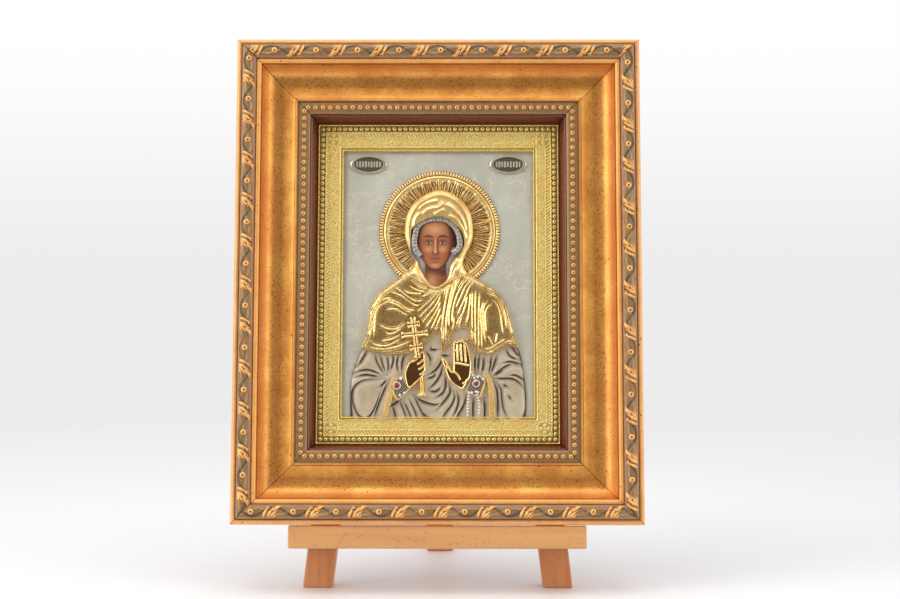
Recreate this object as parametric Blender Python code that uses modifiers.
"""A framed icon with an embossed metal cover, standing on a small folding table easel.

Everything is modelled in the upright panel frame: x to the right, y away from the viewer,
z up the picture. y = 0 is the front face of the easel's front legs and z = 0 is the top of
the ledge. One empty then leans the whole of it back on its feet.
"""
import math

import bmesh
import bpy
import numpy as np
from mathutils import Matrix, Vector

GAP = 0.0003
LEAN = math.radians(10)

# Picture frame: overall size and the widths across the moulding, from the outer edge inwards
FRAME_WIDTH = 0.250
FRAME_HEIGHT = 0.300
RAIL_DEPTH = 0.033
SIDE_SETBACK = 0.0006
SIDE_LIP = 0.0055
EDGE_WIDTH = 0.0030
QUIRK_WIDTH = 0.0003
TORUS_WIDTH = 0.0089
ASTRAGAL_WIDTH = 0.0029
COVE_WIDTH = 0.0208
FILLET_WIDTH = 0.0016
BAND_WIDTH = 0.0074
REBATE_STEP = 0.0024

# How far each member rises or drops from the outer front edge
TORUS_RISE = 0.0034
ASTRAGAL_RISE = 0.0010
QUIRK_DROP = 0.0006
ASTRAGAL_DROP = 0.0010
COVE_BITE = 0.0070
COVE_DROP = 0.0089
FILLET_DROP = 0.0080
BAND_DROP = 0.0096
BAND_RISE = 0.0007
SIGHT_DROP = 0.0120

# Leaf and bead ornament on the torus
ORNAMENT_PITCH = 0.0254
ORNAMENT_MARGIN = 0.0125
LEAF_LENGTH = 0.0125
LEAF_WIDTH = 0.0056
LEAF_RISE = 0.0014
LEAF_SLANT = math.radians(24)
BEAD_RADIUS = 0.0021

# Slip between the moulding and the icon
SLIP_WIDTH = 0.0062
SLIP_STEP = 0.0027
SLIP_BEVEL_DROP = 0.0085
SLIP_DEPTH = 0.0184

# Icon board and metal cover, measured back from the outer front edge
COVER_BACK = 0.0240
BOARD_THICKNESS = 0.0066
BACKING_THICKNESS = 0.0015
BACKING_INSET = 0.0003

# Relief of the cover above its back
BORDER_WIDTH = 0.0152
BORDER_THICKNESS = 0.0035
FIELD_THICKNESS = 0.0006
HALO_RISE = 0.0010
HALO_RIM_RISE = 0.0022
ROBE_RISE = 0.0036
MANTLE_RISE = 0.0052
HOOD_RISE = 0.0066
HAND_RISE = 0.0070
CROSS_RISE = 0.0080
FOLD_RISE = 0.0011
FACE_RISE = 0.0045
FACE_CLEARANCE = 0.0007
RELIEF_CELL = 0.0012
RELIEF_TRIANGLES = 3200

# The figure keeps its proportions: its points are shares of this drawn field, in drawing units
DRAWN_WIDTH = 119.6
DRAWN_HEIGHT = 169.6

# Name plaques and cuff stones
PLAQUE_LENGTH = 0.0230
PLAQUE_HEIGHT = 0.0114
PLAQUE_THICKNESS = 0.0012
PLAQUE_RIM = 0.0011
PLAQUE_SINK = 0.0005
PLAQUE_SIDE_INSET = 0.0164
PLAQUE_TOP_INSET = 0.0100
STONE_RADIUS = 0.0016
STONE_RISE = 0.0012

# Table easel
LEG_WIDTH = 0.018
LEG_DEPTH = 0.014
LEG_SPREAD = 0.0742
LEG_SPLAY = math.radians(6.7)
LEG_TOP = 0.250
FOOT_DROP = 0.038
LEDGE_LENGTH = 0.180
LEDGE_HEIGHT = 0.014
LEDGE_SETBACK = 0.002
TOP_RAIL_HEIGHT = 0.022
RAIL_RECESS = 0.0042
REAR_LEG_WIDTH = 0.018
REAR_LEG_LENGTH = 0.330
REAR_LEG_OPEN = math.radians(27)
SOFT_EDGE = 0.0008

# Brass butt hinge of the rear leg
KNUCKLE_RADIUS = 0.0015
PIN_RADIUS = 0.0006
LEAF_THICKNESS = 0.0008
HINGE_WIDTH = 0.016
HINGE_REACH = 0.013
PIN_BELOW_RAIL = 0.0008
PIN_HEAD_RADIUS = 0.0011
PIN_HEAD_LENGTH = 0.0006

MOULDING_WIDTH = (EDGE_WIDTH + TORUS_WIDTH + ASTRAGAL_WIDTH + COVE_WIDTH
                  + FILLET_WIDTH + BAND_WIDTH + 2 * QUIRK_WIDTH)
REBATE_WIDTH = MOULDING_WIDTH - REBATE_STEP
SLIP_OUTER = REBATE_WIDTH + GAP
ICON_INSET = SLIP_OUTER + SLIP_WIDTH + GAP
ICON_WIDTH = FRAME_WIDTH - 2 * ICON_INSET
ICON_HEIGHT = FRAME_HEIGHT - 2 * ICON_INSET
FIELD_WIDTH = ICON_WIDTH - 2 * BORDER_WIDTH
FIELD_HEIGHT = ICON_HEIGHT - 2 * BORDER_WIDTH
FIGURE_SCALE = min(FIELD_WIDTH / DRAWN_WIDTH, FIELD_HEIGHT / DRAWN_HEIGHT)
FRAME_BOTTOM = GAP
FRAME_FRONT = -(GAP + RAIL_DEPTH)
COVER_BACK_Y = FRAME_FRONT + COVER_BACK
ICON_CENTRE_Z = FRAME_BOTTOM + FRAME_HEIGHT / 2
FIELD_BOTTOM_Z = ICON_CENTRE_Z - FIELD_HEIGHT / 2
PIN_Y = RAIL_RECESS - GAP - LEAF_THICKNESS / 2 - KNUCKLE_RADIUS
TOP_RAIL_BOTTOM = LEG_TOP - TOP_RAIL_HEIGHT
PIN_Z = TOP_RAIL_BOTTOM - PIN_BELOW_RAIL

# The figure as it is drawn: x from the middle of the field, z up from the field's middle
HALO_CENTRE = (0.4, 33.5)
HALO_RADIUS = 37.9
HOOD = [(-26, 3), (-17, 9.6), (-14.7, 14.4), (-20.3, 25.8), (-21.5, 34), (-19.5, 45.3),
        (-12.3, 54.2), (0.4, 59.5), (12.4, 54.6), (19.6, 45.3), (21.6, 34), (20.4, 25.8),
        (15.2, 13), (19, 6), (26, 3), (12, -8), (-12, -8)]
MANTLE = [(-17, 9.6), (-26.3, 3.2), (-37.8, -5.7), (-43, -18), (-45.4, -33.3), (-47.8, -39.8),
          (-38.6, -42.2), (-26.7, -43.5), (-17.1, -42.2), (-9.9, -37.4), (0.4, -26.8),
          (1.6, -42.2), (7, -36.6), (11.6, -28), (19.4, -29), (21.2, -43.5), (29.9, -43.5),
          (37.9, -41), (44.3, -38.2), (49.5, -39), (47.5, -33.3), (42.7, -14.7), (37.9, -6.6),
          (24.4, 3.2), (15.2, 12.8)]
ROBE = [(-20, 0), (-40, -25), (-47.8, -40.6), (-53.8, -55.2), (-55, -66), (-54.6, -90),
        (53.1, -90), (54.3, -69.8), (52.3, -47.1), (40, -25), (20, 0)]
COIF = [(-17.9, 33.9), (-13.9, 38), (-4.4, 42.8), (3.6, 42.8), (10, 38.8), (14.8, 33.1),
        (16, 25), (11.6, 17.5), (6.5, 4), (-2.8, -4), (-10, 6), (-14.5, 17.3), (-17.8, 24)]
FACE_OPENING = [(-2.2, 39.4), (5.2, 37.2), (9.6, 31), (9.6, 22), (6.4, 14), (5.6, 5),
                (-2.4, -2), (-9.2, 7), (-10.2, 14), (-13.6, 22), (-13.4, 31), (-9, 37.2)]
HEAD_CENTRE = (-2.0, 24.0)
HEAD_HALF = (11.0, 14.6)
NECK_HALF = (5.6, 13.0)
NECK_CENTRE = (-2.0, 8.0)

# Families of folds: two guide arcs (start, middle, end) and how many folds lie between them
FOLDS = [
    (((-14.7, 4.3), (-10, 0), (-5.7, -3)), ((-32.3, -10.3), (-23.7, -13.2), (-12.9, -16.5)), 4),
    (((1.4, -4), (-6, -10), (-13.2, -17.2)), ((2, -4), (2, -14), (-1, -27)), 4),
    (((-20, 6), (-38, -8), (-43, -33)), ((-23, -1), (-36, -11), (-38.5, -34)), 2),
    (((-33.4, -30.7), (-28, -32), (-21.9, -26)), ((-44, -37), (-30, -42), (-14, -36)), 3),
    (((10, 8), (4, -12), (3, -38)), ((19.9, 1.8), (13, -12), (11.3, -26)), 4),
    (((22.4, -3.7), (21, -22), (22.7, -42)), ((25.6, -3.7), (24.6, -22), (26.3, -42)), 2),
    (((22, 4), (42, -6), (43, -34)), ((27, -8), (36, -4), (39, -30)), 2),
    (((26, -38), (34, -43), (42.5, -35.5)), ((25, -41), (35, -46), (47, -38)), 2),
    (((-45, -44), (-40, -50), (-33, -57)), ((-22, -45), (-26, -50), (-31, -57)), 4),
    (((-53, -60), (-44, -55), (-33, -58)), ((-50, -82), (-38, -82), (-32, -59)), 2),
    (((25, -46), (28, -50), (33, -57)), ((44, -42), (40, -50), (35, -57)), 4),
    (((53, -52), (44, -54), (35, -58)), ((53, -82), (42, -84), (36, -59)), 3),
    (((-7, -46), (1, -58), (9, -46)), ((-8, -74), (2, -88), (12, -70)), 5),
    (((-26, -73), (-24, -79), (-22, -86)), ((-14, -66), (-8, -76), (-2, -86)), 4),
]
SLEEVE_BANDS = [((-28, -57), (-35, -86)), ((30, -57), (33, -86))]
SLEEVE_BAND_HALF = 1.9
CUFFS = [
    [(-27.1, -59.3), (-21.9, -56.8), (-17.1, -64.1), (-24.7, -72.2), (-28.3, -68.2)],
    [(20.4, -56.8), (25.9, -56.8), (28.7, -60.9), (26.7, -69.8), (22.8, -69), (16.8, -65.8)],
]
CUFF_STONES = [(-25.1, -64.3), (23.5, -62.9)]
LEFT_HAND = [(-17.1, -45.5), (-10.7, -42.2), (-7.5, -53.6), (-9.1, -57), (-18.7, -65),
             (-21.1, -58.5), (-20.7, -53.6)]
LEFT_FINGERS = [((-13.4, -46.5 - 3.2 * k), (-8.4, -43.8 - 3.2 * k)) for k in range(4)]
RIGHT_PALM = [(9.2, -49.5), (18.6, -49.5), (20.2, -60), (15, -65), (10, -61), (6.2, -55)]
RIGHT_FINGERS = [((10.5 + 2.7 * k, -50), (10.2 + 2.5 * k, -36.4 - 1.1 * abs(k - 1.2) ** 1.6))
                 for k in range(4)]
RIGHT_THUMB = ((7.6, -57), (3.4, -47.4))
FINGER_HALF = 1.35
CROSS_BARS = [((-15.7, -19.9), (-9.8, -69)), ((-20.3, -25.2), (-10.7, -24.3)),
              ((-23.5, -31.1), (-6.3, -29.9)), ((-18.3, -39.5), (-9.5, -38.6))]
CROSS_HALF = 1.1
ROSARY = [((18.8, -68.2), (18, -74.7), (18.4, -86)), ((23.9, -69.8), (25.5, -74.7), (24.7, -86))]
PLAQUES = {"left": -1, "right": 1}
PLAQUE_STROKES = 5


def start_scene():
    """Empty the scene and make the collections of the object and of its cutters."""
    for obj in list(bpy.data.objects):
        bpy.data.objects.remove(obj, do_unlink=True)
    made = {}
    for name in ("icon_panel", "cutters"):
        made[name] = bpy.data.collections.new(name)
        bpy.context.scene.collection.children.link(made[name])
    return made


def finish_material(name, colour, roughness, metallic):
    """A plain Principled material in the piece's own colour."""
    material = bpy.data.materials.new(name)
    material.use_nodes = True
    shader = material.node_tree.nodes["Principled BSDF"]
    shader.inputs["Base Color"].default_value = (*colour, 1.0)
    shader.inputs["Roughness"].default_value = roughness
    shader.inputs["Metallic"].default_value = metallic
    return material


GILDED = ((0.60, 0.34, 0.09), 0.38, 0.7)
MAHOGANY = ((0.07, 0.015, 0.008), 0.3, 0.0)
GOLD_PLATE = ((0.92, 0.68, 0.24), 0.22, 1.0)
SILVER_PLATE = ((0.62, 0.60, 0.56), 0.42, 1.0)
PAINTED_BOARD = ((0.46, 0.20, 0.09), 0.5, 0.0)
HARDBOARD = ((0.20, 0.11, 0.05), 0.7, 0.0)
DARK_SILVER = ((0.20, 0.18, 0.15), 0.4, 1.0)
RED_STONE = ((0.45, 0.01, 0.01), 0.08, 0.0)
BEECH = ((0.62, 0.36, 0.19), 0.45, 0.0)
BRASS = ((0.78, 0.56, 0.22), 0.3, 1.0)


def add_object(name, mesh, finish, parent, smooth_angle=math.radians(32)):
    """Put a mesh in the collection as one named piece with its own material."""
    mesh.materials.clear()
    mesh.materials.append(finish_material(name + "_finish", *finish))
    mesh.shade_smooth()
    mesh.set_sharp_from_angle(angle=smooth_angle)
    obj = bpy.data.objects.new(name, mesh)
    collections["icon_panel"].objects.link(obj)
    obj.parent = parent
    return obj


def add_cutter(name, mesh, parent):
    """Keep a cutting shape in its own collection, drawn as wire and left out of renders."""
    obj = bpy.data.objects.new(name, mesh)
    collections["cutters"].objects.link(obj)
    obj.parent = parent
    obj.hide_render = True
    obj.display_type = "WIRE"
    return obj


def add_boolean(obj, cutter, operation):
    """Cut with or join another shape."""
    modifier = obj.modifiers.new(operation.lower() + "_" + cutter.name, "BOOLEAN")
    modifier.operation = operation
    modifier.solver = "EXACT"
    modifier.object = cutter


def mesh_from(shape, name):
    """Turn a finished bmesh into a mesh."""
    bmesh.ops.recalc_face_normals(shape, faces=shape.faces)
    mesh = bpy.data.meshes.new(name)
    shape.to_mesh(mesh)
    shape.free()
    return mesh


def cut_flat(shape, point, outward):
    """Cut away what lies beyond a plane and close the cut."""
    everything = list(shape.verts) + list(shape.edges) + list(shape.faces)
    cut = bmesh.ops.bisect_plane(shape, geom=everything, dist=1e-7, plane_co=point,
                                 plane_no=outward, clear_outer=True)
    edges = [item for item in cut["geom_cut"] if isinstance(item, bmesh.types.BMEdge)]
    bmesh.ops.edgeloop_fill(shape, edges=edges)


def block(low, high):
    """A box between two corners."""
    shape = bmesh.new()
    bmesh.ops.create_cube(shape, size=1.0)
    size = [high[i] - low[i] for i in range(3)]
    centre = [(high[i] + low[i]) / 2 for i in range(3)]
    bmesh.ops.scale(shape, vec=size, verts=shape.verts)
    bmesh.ops.translate(shape, vec=centre, verts=shape.verts)
    return shape


def soften(obj, width):
    """Round the arrises of a wooden piece a little."""
    bevel = obj.modifiers.new("soft edges", "BEVEL")
    bevel.width = width
    bevel.segments = 1
    bevel.limit_method = "ANGLE"
    bevel.angle_limit = math.radians(30)


def extruded(outline, half_length):
    """A prism along x on an outline of (y, z) points."""
    shape = bmesh.new()
    corners = [shape.verts.new((-half_length, y, z)) for y, z in outline]
    face = shape.faces.new(corners)
    grown = bmesh.ops.extrude_face_region(shape, geom=[face])
    moved = [item for item in grown["geom"] if isinstance(item, bmesh.types.BMVert)]
    bmesh.ops.translate(shape, vec=(2 * half_length, 0, 0), verts=moved)
    bmesh.ops.recalc_face_normals(shape, faces=shape.faces)
    return shape


def mitre(shape, half_length):
    """Cut both ends of a bottom length at 45 degrees, half a gap short of the corner."""
    for side in (-1, 1):
        corner = (side * (half_length - GAP * math.sqrt(0.5)), 0, 0)
        cut_flat(shape, corner, Vector((side, 0, 1)).normalized())


def arch(start, end, rise, steps):
    """Points of a half ellipse that springs from start to end and rises above their line."""
    points = []
    for k in range(steps + 1):
        angle = math.pi * k / steps
        share = (1 - math.cos(angle)) / 2
        points.append((start[0] + (end[0] - start[0]) * share,
                       start[1] + (end[1] - start[1]) * share + rise * math.sin(angle)))
    return points


def bezier(p0, p1, p2, p3, steps):
    """Points of a cubic curve."""
    points = []
    for k in range(steps + 1):
        t = k / steps
        weights = ((1 - t) ** 3, 3 * t * (1 - t) ** 2, 3 * t * t * (1 - t), t ** 3)
        points.append(tuple(sum(w * p[i] for w, p in zip(weights, (p0, p1, p2, p3)))
                            for i in range(2)))
    return points


def moulding_profile():
    """The rail's section as (distance in from the outer edge, height over the front edge)."""
    torus = EDGE_WIDTH + QUIRK_WIDTH
    astragal = torus + TORUS_WIDTH + QUIRK_WIDTH
    cove = astragal + ASTRAGAL_WIDTH
    fillet = cove + COVE_WIDTH
    band = fillet + FILLET_WIDTH
    sight = band + BAND_WIDTH
    profile = [(SIDE_SETBACK, -RAIL_DEPTH), (SIDE_SETBACK, -SIDE_LIP), (0, -SIDE_LIP + SIDE_SETBACK),
               (0, -EDGE_WIDTH / 2), (EDGE_WIDTH / 8, -EDGE_WIDTH / 5), (EDGE_WIDTH / 2, 0),
               (EDGE_WIDTH, QUIRK_DROP / 2), (torus, -QUIRK_DROP / 2)]
    profile += arch((torus, 0), (torus + TORUS_WIDTH, -QUIRK_DROP), TORUS_RISE, 6)[1:]
    profile += arch((astragal, -QUIRK_DROP), (cove, -ASTRAGAL_DROP), ASTRAGAL_RISE, 3)
    profile += bezier((cove + QUIRK_WIDTH, -ASTRAGAL_DROP - QUIRK_DROP),
                      (cove + COVE_WIDTH * 0.09, -ASTRAGAL_DROP - COVE_BITE),
                      (cove + COVE_WIDTH * 0.5, -COVE_DROP - COVE_WIDTH * 0.16),
                      (fillet - QUIRK_WIDTH, -COVE_DROP), 7)
    profile += [(fillet, -FILLET_DROP), (band - QUIRK_WIDTH, -FILLET_DROP)]
    profile += arch((band, -BAND_DROP), (sight - QUIRK_WIDTH, -BAND_DROP), BAND_RISE, 3)
    profile += [(sight, -BAND_DROP - QUIRK_WIDTH), (sight, -SIGHT_DROP),
                (REBATE_WIDTH, -SIGHT_DROP), (REBATE_WIDTH, -RAIL_DEPTH)]
    return profile


def ornament_mesh(length):
    """The leaves and beads along one rail's torus, alternating half a pitch apart."""
    crest_z = EDGE_WIDTH + QUIRK_WIDTH + TORUS_WIDTH / 2
    crest_y = -TORUS_RISE
    run = length - 2 * ORNAMENT_MARGIN
    count = max(1, round(run / ORNAMENT_PITCH))
    pitch = run / count
    shape = bmesh.new()
    for k in range(count):
        leaf_x = -run / 2 + (k + 0.5) * pitch
        turn = Matrix.Rotation(LEAF_SLANT, 4, "Y")
        size = Matrix.Diagonal((LEAF_LENGTH / 2, LEAF_RISE, LEAF_WIDTH / 2, 1))
        place = Matrix.Translation((leaf_x, crest_y + LEAF_RISE / 8, crest_z))
        made = bmesh.ops.create_uvsphere(shape, u_segments=6, v_segments=4, radius=1.0,
                                         matrix=place @ turn @ size @ Matrix.Rotation(math.pi / 2, 4, "Y"))
        for vert in made["verts"]:
            along = (vert.co.x - leaf_x) / (LEAF_LENGTH / 2)
            vert.co.z = crest_z + (vert.co.z - crest_z) * (1 - 0.35 * along)
    for k in range(count + 1):
        bead_x = -run / 2 + k * pitch
        if abs(bead_x) > run / 2 - BEAD_RADIUS:
            bead_x = math.copysign(run / 2 - BEAD_RADIUS, bead_x)
        place = Matrix.Translation((bead_x, crest_y + BEAD_RADIUS * 0.35, crest_z))
        bmesh.ops.create_uvsphere(shape, u_segments=6, v_segments=4, radius=BEAD_RADIUS,
                                  matrix=place @ Matrix.Rotation(math.pi / 2, 4, "X"))
    return mesh_from(shape, "ornament")


def make_mouldings(parent):
    """Four mitred lengths of the gilded moulding with their ornament."""
    sides = {"bottom": (0, FRAME_WIDTH, 0), "left": (90, FRAME_HEIGHT, 1),
             "top": (180, FRAME_WIDTH, 2), "right": (-90, FRAME_HEIGHT, 3)}
    for side, (turn, length, quarter) in sides.items():
        outline = [(-h, d) for d, h in moulding_profile()]
        shape = extruded(outline, length / 2 + MOULDING_WIDTH)
        mitre(shape, length / 2)
        rail = add_object("rail_" + side, mesh_from(shape, "rail"), GILDED, parent)
        ornament = add_cutter("ornament_" + side, ornament_mesh(length), parent)
        for obj in (rail, ornament):
            place_side(obj, turn, quarter, FRAME_FRONT)
        add_boolean(rail, ornament, "UNION")


def place_side(obj, turn, quarter, front):
    """Turn a bottom length about the picture's middle onto one side of the frame."""
    half = (FRAME_HEIGHT if quarter % 2 == 0 else FRAME_WIDTH) / 2
    outward = ((0, -1), (-1, 0), (0, 1), (1, 0))[quarter]
    obj.rotation_euler = (0, math.radians(turn), 0)
    obj.location = (outward[0] * half, front, ICON_CENTRE_Z + outward[1] * half)


def make_slips(parent):
    """Four mitred lengths of the dark slip inside the rebate."""
    top = -SIGHT_DROP - GAP
    step = SLIP_OUTER + SLIP_STEP
    inner = SLIP_OUTER + SLIP_WIDTH
    bevel = step + SLIP_STEP * 0.3
    outline = [(SLIP_OUTER, top), (step, top), (bevel, top - SLIP_STEP * 0.26),
               (inner - GAP, top - SLIP_BEVEL_DROP), (inner, top - SLIP_BEVEL_DROP - SLIP_STEP * 0.3),
               (inner, top - SLIP_DEPTH), (SLIP_OUTER, top - SLIP_DEPTH)]
    sides = {"bottom": (0, FRAME_WIDTH, 0), "left": (90, FRAME_HEIGHT, 1),
             "top": (180, FRAME_WIDTH, 2), "right": (-90, FRAME_HEIGHT, 3)}
    for side, (turn, length, quarter) in sides.items():
        shape = extruded([(-h, d) for d, h in outline], length / 2 + MOULDING_WIDTH)
        mitre(shape, length / 2)
        slip = add_object("slip_" + side, mesh_from(shape, "slip"), MAHOGANY, parent)
        place_side(slip, turn, quarter, FRAME_FRONT)


def smooth_loop(points, steps=4):
    """A closed Catmull-Rom curve through the drawn points."""
    ring = np.array(points, float)
    smooth = []
    for k in range(len(ring)):
        a, b, c, d = (ring[(k + j - 1) % len(ring)] for j in range(4))
        for t in np.arange(steps) / steps:
            smooth.append(0.5 * (2 * b + (c - a) * t + (2 * a - 5 * b + 4 * c - d) * t ** 2
                                 + (3 * b - a - 3 * c + d) * t ** 3))
    return np.array(smooth)


def shrunk_loop(points, amount):
    """The smooth outline drawn in towards its middle by about an amount in metres."""
    ring = smooth_loop(points, 3)
    inward = ring.mean(axis=0) - ring
    reach = np.linalg.norm(inward, axis=1)[:, None]
    return ring + inward / reach * amount / FIGURE_SCALE


def distance_to_path(x, z, path):
    """Least distance from each grid point to a line through the points."""
    best = np.full(x.shape, 1e9)
    for (ax, az), (bx, bz) in zip(path[:-1], path[1:]):
        dx, dz = bx - ax, bz - az
        share = np.clip(((x - ax) * dx + (z - az) * dz) / (dx * dx + dz * dz + 1e-12), 0, 1)
        best = np.minimum(best, np.hypot(x - ax - share * dx, z - az - share * dz))
    return best


def distance_inside(x, z, ring):
    """Distance to a closed outline, positive inside it."""
    inside = np.zeros(x.shape, bool)
    for (ax, az), (bx, bz) in zip(ring, np.roll(ring, -1, axis=0)):
        crosses = (az > z) != (bz > z)
        inside ^= crosses & (x < (bx - ax) * (z - az) / (bz - az + 1e-12) + ax)
    edge = distance_to_path(x, z, np.vstack([ring, ring[:1]]))
    return np.where(inside, edge, -edge)


def swell(distance, rise, width):
    """A form that rises round from its outline and levels out."""
    share = np.clip(distance / width, 0, 1)
    return rise * np.sqrt(1 - (1 - share) ** 2)


def arc_path(start, middle, end, steps=8):
    """Points of a quadratic curve that leaves start, leans to middle and reaches end."""
    t = np.linspace(0, 1, steps + 1)[:, None]
    a, b, c = (np.array(p, float) for p in (start, middle, end))
    return (1 - t) ** 2 * a + 2 * t * (1 - t) * b + t ** 2 * c


def fold_paths():
    """Every fold of the dress, each between the two guide arcs of its family."""
    for first, last, count in FOLDS:
        for k in range(count):
            share = k / max(1, count - 1)
            guides = [tuple(np.array(a) * (1 - share) + np.array(b) * share)
                      for a, b in zip(first, last)]
            yield arc_path(*guides)


def relief_height(x, z):
    """Height of the cover above its back, in metres, at drawn positions."""
    level = np.full(x.shape, FIELD_THICKNESS)
    radius = np.hypot(x - HALO_CENTRE[0], z - HALO_CENTRE[1]) / HALO_RADIUS
    angle = np.arctan2(x - HALO_CENTRE[0], z - HALO_CENTRE[1])
    rays = HALO_RISE * 0.7 * np.cos(angle * 30) * ((radius > 0.55) & (radius < 0.87))
    level = np.where(radius < 1, level + HALO_RISE + rays, level)
    level = np.where((radius > 0.93) & (radius < 1), FIELD_THICKNESS + HALO_RIM_RISE, level)

    robe = distance_inside(x, z, smooth_loop(ROBE))
    mantle = distance_inside(x, z, smooth_loop(MANTLE))
    hood = distance_inside(x, z, smooth_loop(HOOD))
    dress = np.where(robe > 0, FIELD_THICKNESS + swell(robe, ROBE_RISE, 9), level)
    dress = np.where(mantle > 0, FIELD_THICKNESS + HALO_RISE
                     + swell(mantle, MANTLE_RISE - HALO_RISE, 10), dress)
    dress = np.where(hood > 0, np.maximum(dress, FIELD_THICKNESS + HALO_RISE
                                          + swell(hood, HOOD_RISE - HALO_RISE, 9)), dress)
    for path in fold_paths():
        dress = dress + FOLD_RISE * np.exp(-(distance_to_path(x, z, path) / 1.25) ** 2)
    dressed = (robe > 0) | (mantle > 0) | (hood > 0)
    level = np.where(dressed, dress, level)

    coif = distance_inside(x, z, smooth_loop(COIF))
    level = np.where(coif > 0, level - 0.0012 + swell(coif, 0.0008, 3), level)
    for start, end in SLEEVE_BANDS:
        band = distance_to_path(x, z, [start, end])
        level = np.where(band < SLEEVE_BAND_HALF, FIELD_THICKNESS + MANTLE_RISE, level)
    for outline in CUFFS:
        level = np.where(distance_inside(x, z, np.array(outline, float)) > 0,
                         FIELD_THICKNESS + MANTLE_RISE, level)
    for path in ROSARY:
        strand = distance_to_path(x, z, arc_path(*path))
        level = np.where(strand < 1.1, FIELD_THICKNESS + MANTLE_RISE, level)
    palms = [distance_inside(x, z, smooth_loop(ring)) for ring in (LEFT_HAND, RIGHT_PALM)]
    for palm in palms:
        level = np.where(palm > 0, FIELD_THICKNESS + swell(palm + 1, HAND_RISE, 3), level)
    for finger in LEFT_FINGERS + RIGHT_FINGERS + [RIGHT_THUMB]:
        reach = FINGER_HALF - distance_to_path(x, z, finger)
        level = np.where(reach > 0, FIELD_THICKNESS + HAND_RISE + swell(reach, 0.0006, 1), level)
    for bar in CROSS_BARS:
        reach = CROSS_HALF - distance_to_path(x, z, bar)
        level = np.where(reach > 0, FIELD_THICKNESS + CROSS_RISE * 0.9
                         + swell(reach, CROSS_RISE * 0.1, 1), level)
    return level


def drawn_to_panel(x, z):
    """Place a drawn point on the panel: the figure stands on the middle of the field's foot."""
    return (x * FIGURE_SCALE, FIELD_BOTTOM_Z + (z + DRAWN_HEIGHT / 2) * FIGURE_SCALE)


def panel_prism(ring, low, high, name):
    """A prism through the cover on an outline of drawn points, between two heights."""
    shape = bmesh.new()
    corners = [shape.verts.new((px, COVER_BACK_Y - low, pz))
               for px, pz in (drawn_to_panel(x, z) for x, z in ring)]
    face = shape.faces.new(corners)
    grown = bmesh.ops.extrude_face_region(shape, geom=[face])
    moved = [item for item in grown["geom"] if isinstance(item, bmesh.types.BMVert)]
    bmesh.ops.translate(shape, vec=(0, low - high, 0), verts=moved)
    return mesh_from(shape, name)


def cover_sheet():
    """The cover's front: a grid raised to the relief, then thinned where it is plain."""
    columns = round(ICON_WIDTH / RELIEF_CELL)
    rows = round(ICON_HEIGHT / RELIEF_CELL)
    shape = bmesh.new()
    bmesh.ops.create_grid(shape, x_segments=columns, y_segments=rows, size=0.5)
    points = np.array([vert.co[:] for vert in shape.verts])
    x = points[:, 0] * ICON_WIDTH
    z = points[:, 1] * ICON_HEIGHT
    drawn_x = x / FIGURE_SCALE
    drawn_z = (z + FIELD_HEIGHT / 2) / FIGURE_SCALE - DRAWN_HEIGHT / 2
    height = relief_height(drawn_x, drawn_z)
    beyond = np.maximum(np.abs(x) - FIELD_WIDTH / 2, np.abs(z) - FIELD_HEIGHT / 2)
    border = BORDER_THICKNESS + 0.0004 * (beyond > BORDER_WIDTH - 0.0045)
    height = np.where(beyond > -1e-6, border, height)
    for vert, px, pz, h in zip(shape.verts, x, z, height):
        vert.co = (px, COVER_BACK_Y - h, ICON_CENTRE_Z + pz)
    sheet = mesh_from(shape, "cover sheet")
    holder = bpy.data.objects.new("cover sheet", sheet)
    collections["cutters"].objects.link(holder)
    thin = holder.modifiers.new("thin", "DECIMATE")
    thin.ratio = RELIEF_TRIANGLES / (2 * columns * rows)
    thinned = bpy.data.meshes.new_from_object(holder.evaluated_get(bpy.context.evaluated_depsgraph_get()))
    bpy.data.objects.remove(holder, do_unlink=True)
    return thinned


def make_cover(parent):
    """The embossed cover: one sheet with its back filled flat and an opening for the face."""
    shape = bmesh.new()
    shape.from_mesh(cover_sheet())
    grown = bmesh.ops.extrude_face_region(shape, geom=list(shape.faces))
    back = [item for item in grown["geom"] if isinstance(item, bmesh.types.BMVert)]
    for vert in back:
        vert.co.y = COVER_BACK_Y
    flat = [item for item in grown["geom"] if not isinstance(item, bmesh.types.BMFace)]
    faces = [item for item in grown["geom"] if isinstance(item, bmesh.types.BMFace)]
    edges = list({edge for face in faces for edge in face.edges})
    bmesh.ops.dissolve_limit(shape, angle_limit=math.radians(1), verts=[v for v in flat
                             if isinstance(v, bmesh.types.BMVert)], edges=edges)
    cover = add_object("metal_cover", mesh_from(shape, "cover"), GOLD_PLATE, parent)
    colour_silver(cover.data)

    opening = panel_prism(smooth_loop(FACE_OPENING, 3), -BOARD_THICKNESS, RAIL_DEPTH, "face opening")
    add_boolean(cover, add_cutter("face_opening", opening, parent), "DIFFERENCE")
    for side, (x, z) in zip(("left", "right"), CUFF_STONES):
        seat_radius = (STONE_RADIUS + GAP) / FIGURE_SCALE
        ring = [(x + seat_radius * math.cos(a), z + seat_radius * math.sin(a))
                for a in np.linspace(0, 2 * math.pi, 12, endpoint=False)]
        seat = panel_prism(ring, FIELD_THICKNESS + MANTLE_RISE - GAP, RAIL_DEPTH, "stone seat")
        add_boolean(cover, add_cutter("stone_seat_" + side, seat, parent), "DIFFERENCE")
    return cover


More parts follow.
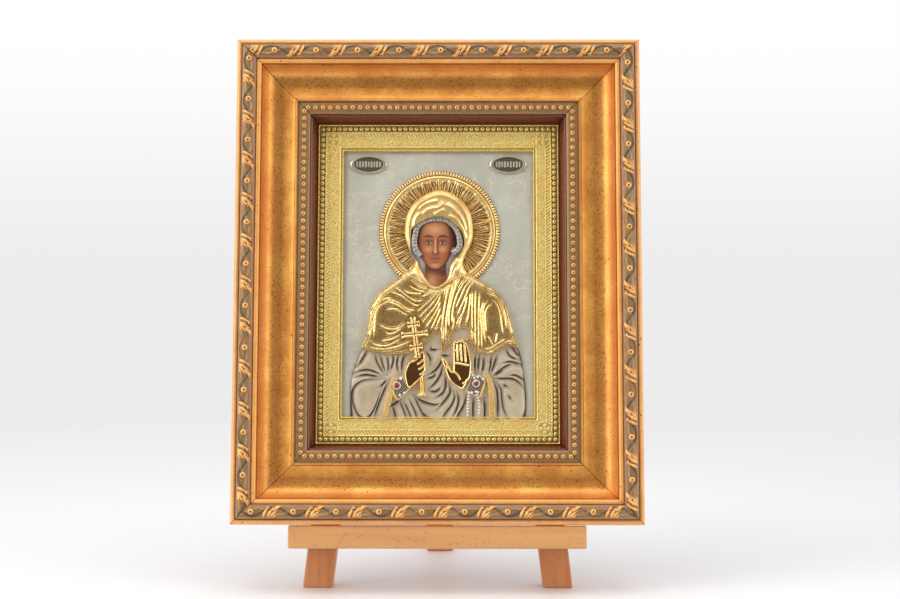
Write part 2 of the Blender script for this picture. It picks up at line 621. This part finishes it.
def colour_silver(mesh):
    """Give the field and the robe the silver plating, and leave the rest gold."""
    mesh.materials.append(finish_material("cover_silver", *SILVER_PLATE))
    mantle = smooth_loop(MANTLE)
    hood = smooth_loop(HOOD)
    centres = np.array([face.center[:] for face in mesh.polygons])
    x = centres[:, 0] / FIGURE_SCALE
    z = (centres[:, 2] - FIELD_BOTTOM_Z) / FIGURE_SCALE - DRAWN_HEIGHT / 2
    in_field = (np.abs(centres[:, 0]) < FIELD_WIDTH / 2) & \
        (np.abs(centres[:, 2] - ICON_CENTRE_Z) < FIELD_HEIGHT / 2)
    gold = (distance_inside(x, z, mantle) > 0) | (distance_inside(x, z, hood) > 0)
    gold |= np.hypot(x - HALO_CENTRE[0], z - HALO_CENTRE[1]) < HALO_RADIUS
    for line in SLEEVE_BANDS + CROSS_BARS:
        gold |= distance_to_path(x, z, line) < SLEEVE_BAND_HALF
    for ring in (LEFT_HAND, RIGHT_PALM):
        gold |= distance_inside(x, z, smooth_loop(ring)) > 0
    for face, silver in zip(mesh.polygons, in_field & ~gold):
        face.material_index = int(silver)


def dome(centre, half, base_y, rise, name, segments=12):
    """A flattened dome whose middle lies in the plane base_y."""
    shape = bmesh.new()
    bmesh.ops.create_uvsphere(shape, u_segments=segments, v_segments=6, radius=1.0,
                              matrix=Matrix.Rotation(math.pi / 2, 4, "X"))
    bmesh.ops.scale(shape, vec=(half[0], rise, half[1]), verts=shape.verts)
    bmesh.ops.translate(shape, vec=(centre[0], base_y, centre[1]), verts=shape.verts)
    return mesh_from(shape, name)


def make_board(parent):
    """The icon board, with the painted head and neck standing up through the cover's opening."""
    front = COVER_BACK_Y + GAP
    shape = block((-ICON_WIDTH / 2, front, ICON_CENTRE_Z - ICON_HEIGHT / 2),
                  (ICON_WIDTH / 2, front + BOARD_THICKNESS, ICON_CENTRE_Z + ICON_HEIGHT / 2))
    board = add_object("icon_board", mesh_from(shape, "board"), PAINTED_BOARD, parent)
    ground = shrunk_loop(FACE_OPENING, FACE_CLEARANCE)
    plinth = panel_prism(ground, -BOARD_THICKNESS / 2, FACE_RISE * 0.6, "face ground")
    add_boolean(board, add_cutter("face_ground", plinth, parent), "UNION")
    limit = shrunk_loop(FACE_OPENING, FACE_CLEARANCE + GAP)
    bounds = add_cutter("face_bounds", panel_prism(limit, -BOARD_THICKNESS / 3, FACE_RISE * 2, "face bounds"),
                        parent)
    parts = (("head", HEAD_CENTRE, HEAD_HALF, FACE_RISE), ("neck", NECK_CENTRE, NECK_HALF, FACE_RISE * 0.85))
    for name, centre, half, rise in parts:
        px, pz = drawn_to_panel(*centre)
        half_size = (half[0] * FIGURE_SCALE, half[1] * FIGURE_SCALE)
        raised = add_cutter("painted_" + name, dome((px, pz), half_size, COVER_BACK_Y, rise, name), parent)
        add_boolean(raised, bounds, "INTERSECT")
        add_boolean(board, raised, "UNION")
    return board


def make_backing(parent):
    """The thin board that closes the back of the rebate."""
    inset = REBATE_WIDTH + BACKING_INSET
    back = -GAP - BACKING_INSET
    shape = block((-FRAME_WIDTH / 2 + inset, back - BACKING_THICKNESS, FRAME_BOTTOM + inset),
                  (FRAME_WIDTH / 2 - inset, back, FRAME_BOTTOM + FRAME_HEIGHT - inset))
    add_object("backing_board", mesh_from(shape, "backing"), HARDBOARD, parent)


def make_plaques(parent):
    """Two ovals with a raised rim and shallow upright strokes."""
    seat_y = COVER_BACK_Y - FIELD_THICKNESS - GAP
    for name, side in PLAQUES.items():
        px = side * (FIELD_WIDTH / 2 - PLAQUE_SIDE_INSET)
        pz = FIELD_BOTTOM_Z + FIELD_HEIGHT - PLAQUE_TOP_INSET
        shape = bmesh.new()
        bmesh.ops.create_cone(shape, cap_ends=True, segments=24, radius1=0.5, radius2=0.5, depth=1.0,
                              matrix=Matrix.Rotation(math.pi / 2, 4, "X"))
        bmesh.ops.scale(shape, vec=(PLAQUE_LENGTH, PLAQUE_THICKNESS, PLAQUE_HEIGHT), verts=shape.verts)
        front = min(shape.faces, key=lambda face: face.calc_center_median().y)
        bmesh.ops.inset_region(shape, faces=[front], thickness=PLAQUE_RIM)
        pushed = bmesh.ops.extrude_face_region(shape, geom=[front])
        verts = [item for item in pushed["geom"] if isinstance(item, bmesh.types.BMVert)]
        bmesh.ops.translate(shape, vec=(0, PLAQUE_SINK, 0), verts=verts)
        bmesh.ops.delete(shape, geom=[front], context="FACES_ONLY")
        bmesh.ops.translate(shape, vec=(px, seat_y - PLAQUE_THICKNESS / 2, pz), verts=shape.verts)
        plaque = add_object("name_plaque_" + name, mesh_from(shape, "plaque"), DARK_SILVER, parent)
        strokes = bmesh.new()
        pitch = (PLAQUE_LENGTH - 6 * PLAQUE_RIM) / PLAQUE_STROKES
        for k in range(PLAQUE_STROKES):
            centre = (px + (k - (PLAQUE_STROKES - 1) / 2) * pitch, seat_y - PLAQUE_THICKNESS * 0.55, pz)
            size = Matrix.Diagonal((pitch * 0.4, PLAQUE_THICKNESS * 0.7, PLAQUE_HEIGHT * 0.42, 1))
            bmesh.ops.create_cube(strokes, size=1.0, matrix=Matrix.Translation(centre) @ size)
        joined = add_cutter("plaque_strokes_" + name, mesh_from(strokes, "strokes"), parent)
        add_boolean(plaque, joined, "UNION")


def make_stones(parent):
    """The red stones in the cuffs: a flat back and a domed front."""
    seat_y = COVER_BACK_Y - FIELD_THICKNESS - MANTLE_RISE
    for side, (x, z) in zip(("left", "right"), CUFF_STONES):
        px, pz = drawn_to_panel(x, z)
        shape = bmesh.new()
        bmesh.ops.create_uvsphere(shape, u_segments=12, v_segments=8, radius=1.0,
                                  matrix=Matrix.Rotation(math.pi / 2, 4, "X"))
        bmesh.ops.scale(shape, vec=(STONE_RADIUS, STONE_RISE, STONE_RADIUS), verts=shape.verts)
        cut_flat(shape, (0, 0, 0), (0, 1, 0))
        bmesh.ops.translate(shape, vec=(px, seat_y, pz), verts=shape.verts)
        add_object("cuff_stone_" + side, mesh_from(shape, "stone"), RED_STONE, parent)


def leg_frame(side):
    """The matrix that carries an upright bar through the panel's origin onto a splayed leg."""
    foot = Matrix.Translation((side * LEG_SPREAD, 0, -FOOT_DROP))
    return foot @ Matrix.Rotation(-side * LEG_SPLAY, 4, "Y")


def floor_plane():
    """A point of the floor and its downward direction, as the leaning panel sees them."""
    down = Matrix.Rotation(LEAN, 3, "X") @ Vector((0, 0, -1))
    return Vector((0, 0, -FOOT_DROP)), down


def make_legs(parent):
    """Two splayed front legs, cut level with the floor and square across the top."""
    for side, name in ((-1, "left"), (1, "right")):
        shape = block((-LEG_WIDTH / 2, 0, -LEG_WIDTH), (LEG_WIDTH / 2, LEG_DEPTH, LEG_TOP * 1.6))
        bmesh.ops.transform(shape, matrix=leg_frame(side), verts=shape.verts)
        cut_flat(shape, (0, 0, LEG_TOP), (0, 0, 1))
        cut_flat(shape, *floor_plane())
        leg = add_object("front_leg_" + name, mesh_from(shape, "leg"), BEECH, parent)
        soften(leg, SOFT_EDGE)


def make_ledge(parent):
    """The strip in front of the legs that the picture frame stands on."""
    shape = block((-LEDGE_LENGTH / 2, FRAME_FRONT + LEDGE_SETBACK, -LEDGE_HEIGHT),
                  (LEDGE_LENGTH / 2, -GAP, 0))
    ledge = add_object("ledge", mesh_from(shape, "ledge"), BEECH, parent)
    soften(ledge, SOFT_EDGE)


def make_top_rail(parent):
    """The cross piece between the legs, cut to their splay."""
    shape = block((-LEG_SPREAD, RAIL_RECESS, TOP_RAIL_BOTTOM), (LEG_SPREAD, LEG_DEPTH, LEG_TOP))
    for side in (-1, 1):
        frame = leg_frame(side)
        inner_face = frame @ Vector((-side * (LEG_WIDTH / 2 + GAP), 0, 0))
        outward = frame.to_3x3() @ Vector((side, 0, 0))
        cut_flat(shape, inner_face, outward)
    rail = add_object("top_rail", mesh_from(shape, "top rail"), BEECH, parent)
    soften(rail, SOFT_EDGE)


def make_rear_leg(hinge_parent):
    """The prop, drawn folded along its hinge: its slanted top end meets the rail when open."""
    near = RAIL_RECESS - PIN_Y
    far = LEG_DEPTH - PIN_Y
    shape = block((-REAR_LEG_WIDTH / 2, near, -REAR_LEG_LENGTH), (REAR_LEG_WIDTH / 2, far, LEG_DEPTH))
    unfold = Matrix.Rotation(-REAR_LEG_OPEN, 3, "X")
    stop = unfold @ Vector((0, 0, PIN_BELOW_RAIL - GAP))
    cut_flat(shape, stop, unfold @ Vector((0, 0, 1)))
    floor_point, down = floor_plane()
    cut_flat(shape, unfold @ (floor_point - Vector((0, PIN_Y, PIN_Z))), unfold @ down)
    leg = add_object("rear_leg", mesh_from(shape, "rear leg"), BEECH, hinge_parent)
    soften(leg, SOFT_EDGE)


def knuckle_and_leaf(spans, direction, name, finish_parent):
    """A hinge leaf with its knuckles: direction is 1 for a leaf above the pin and -1 below."""
    leaf_back = RAIL_RECESS - GAP - PIN_Y
    inner = KNUCKLE_RADIUS + GAP
    low, high = sorted((direction * inner, direction * HINGE_REACH))
    plate = block((-HINGE_WIDTH / 2, leaf_back - LEAF_THICKNESS, low),
                  (HINGE_WIDTH / 2, leaf_back, high))
    leaf = add_object(name, mesh_from(plate, "leaf"), BRASS, finish_parent)
    for index, (start, end) in enumerate(spans):
        reach = sorted((0.0, direction * (inner + KNUCKLE_RADIUS)))
        strap = block((start, leaf_back - LEAF_THICKNESS, reach[0]), (end, leaf_back, reach[1]))
        strap_cutter = add_cutter(f"{name}_strap_{index}", mesh_from(strap, "strap"), finish_parent)
        add_boolean(leaf, strap_cutter, "UNION")
        barrel = round_bar(start, end, KNUCKLE_RADIUS)
        add_boolean(leaf, add_cutter(f"{name}_barrel_{index}", barrel, finish_parent), "UNION")
    bore = round_bar(-HINGE_WIDTH, HINGE_WIDTH, PIN_RADIUS + GAP)
    add_boolean(leaf, add_cutter(name + "_bore", bore, finish_parent), "DIFFERENCE")
    return leaf


def round_bar(start, end, radius):
    """A round bar along x."""
    shape = bmesh.new()
    middle = Matrix.Translation(((start + end) / 2, 0, 0))
    bmesh.ops.create_cone(shape, cap_ends=True, segments=10, radius1=radius, radius2=radius,
                          depth=end - start, matrix=middle @ Matrix.Rotation(math.pi / 2, 4, "Y"))
    return mesh_from(shape, "round bar")


def make_hinge(fixed_parent, moving_parent):
    """Three knuckles on one pin: two on the rail's leaf and the middle one on the leg's."""
    third = HINGE_WIDTH / 3
    half = HINGE_WIDTH / 2
    knuckle_and_leaf([(-half, -half + third - GAP), (half - third + GAP, half)], 1,
                     "hinge_leaf_fixed", fixed_parent)
    knuckle_and_leaf([(-half + third, half - third)], -1, "hinge_leaf_moving", moving_parent)
    reach = half + GAP + PIN_HEAD_LENGTH / 2
    pin = add_object("hinge_pin", round_bar(-reach, reach, PIN_RADIUS), BRASS, fixed_parent)
    for side in (-1, 1):
        ends = sorted((side * (half + GAP), side * (half + GAP + PIN_HEAD_LENGTH)))
        head = add_cutter(f"pin_head_{side}", round_bar(*ends, PIN_HEAD_RADIUS), fixed_parent)
        add_boolean(pin, head, "UNION")


def add_empty(name, parent, location=(0, 0, 0), turn_x=0.0):
    """An empty that carries pieces."""
    empty = bpy.data.objects.new(name, None)
    bpy.context.scene.collection.objects.link(empty)
    empty.parent = parent
    empty.location = location
    empty.rotation_euler = (turn_x, 0, 0)
    return empty


def stand_on_origin(lean):
    """Move the whole object so that the middle of its footprint is the origin."""
    bpy.context.view_layer.update()
    graph = bpy.context.evaluated_depsgraph_get()
    corners = []
    for obj in collections["icon_panel"].objects:
        evaluated = obj.evaluated_get(graph)
        mesh = evaluated.to_mesh()
        corners += [evaluated.matrix_world @ vert.co for vert in mesh.vertices]
        evaluated.to_mesh_clear()
    low = Vector(min(c[i] for c in corners) for i in range(3))
    high = Vector(max(c[i] for c in corners) for i in range(3))
    lean.location -= Vector(((low.x + high.x) / 2, (low.y + high.y) / 2, low.z))


collections = start_scene()
lean_empty = add_empty("lean", None, turn_x=-LEAN)
pin_empty = add_empty("hinge axis", lean_empty, location=(0, PIN_Y, PIN_Z))
fold_empty = add_empty("rear leg fold", pin_empty, turn_x=REAR_LEG_OPEN)
make_mouldings(lean_empty)
make_slips(lean_empty)
make_board(lean_empty)
make_cover(lean_empty)
make_plaques(lean_empty)
make_stones(lean_empty)
make_backing(lean_empty)
make_legs(lean_empty)
make_ledge(lean_empty)
make_top_rail(lean_empty)
make_rear_leg(fold_empty)
make_hinge(pin_empty, fold_empty)
stand_on_origin(lean_empty)
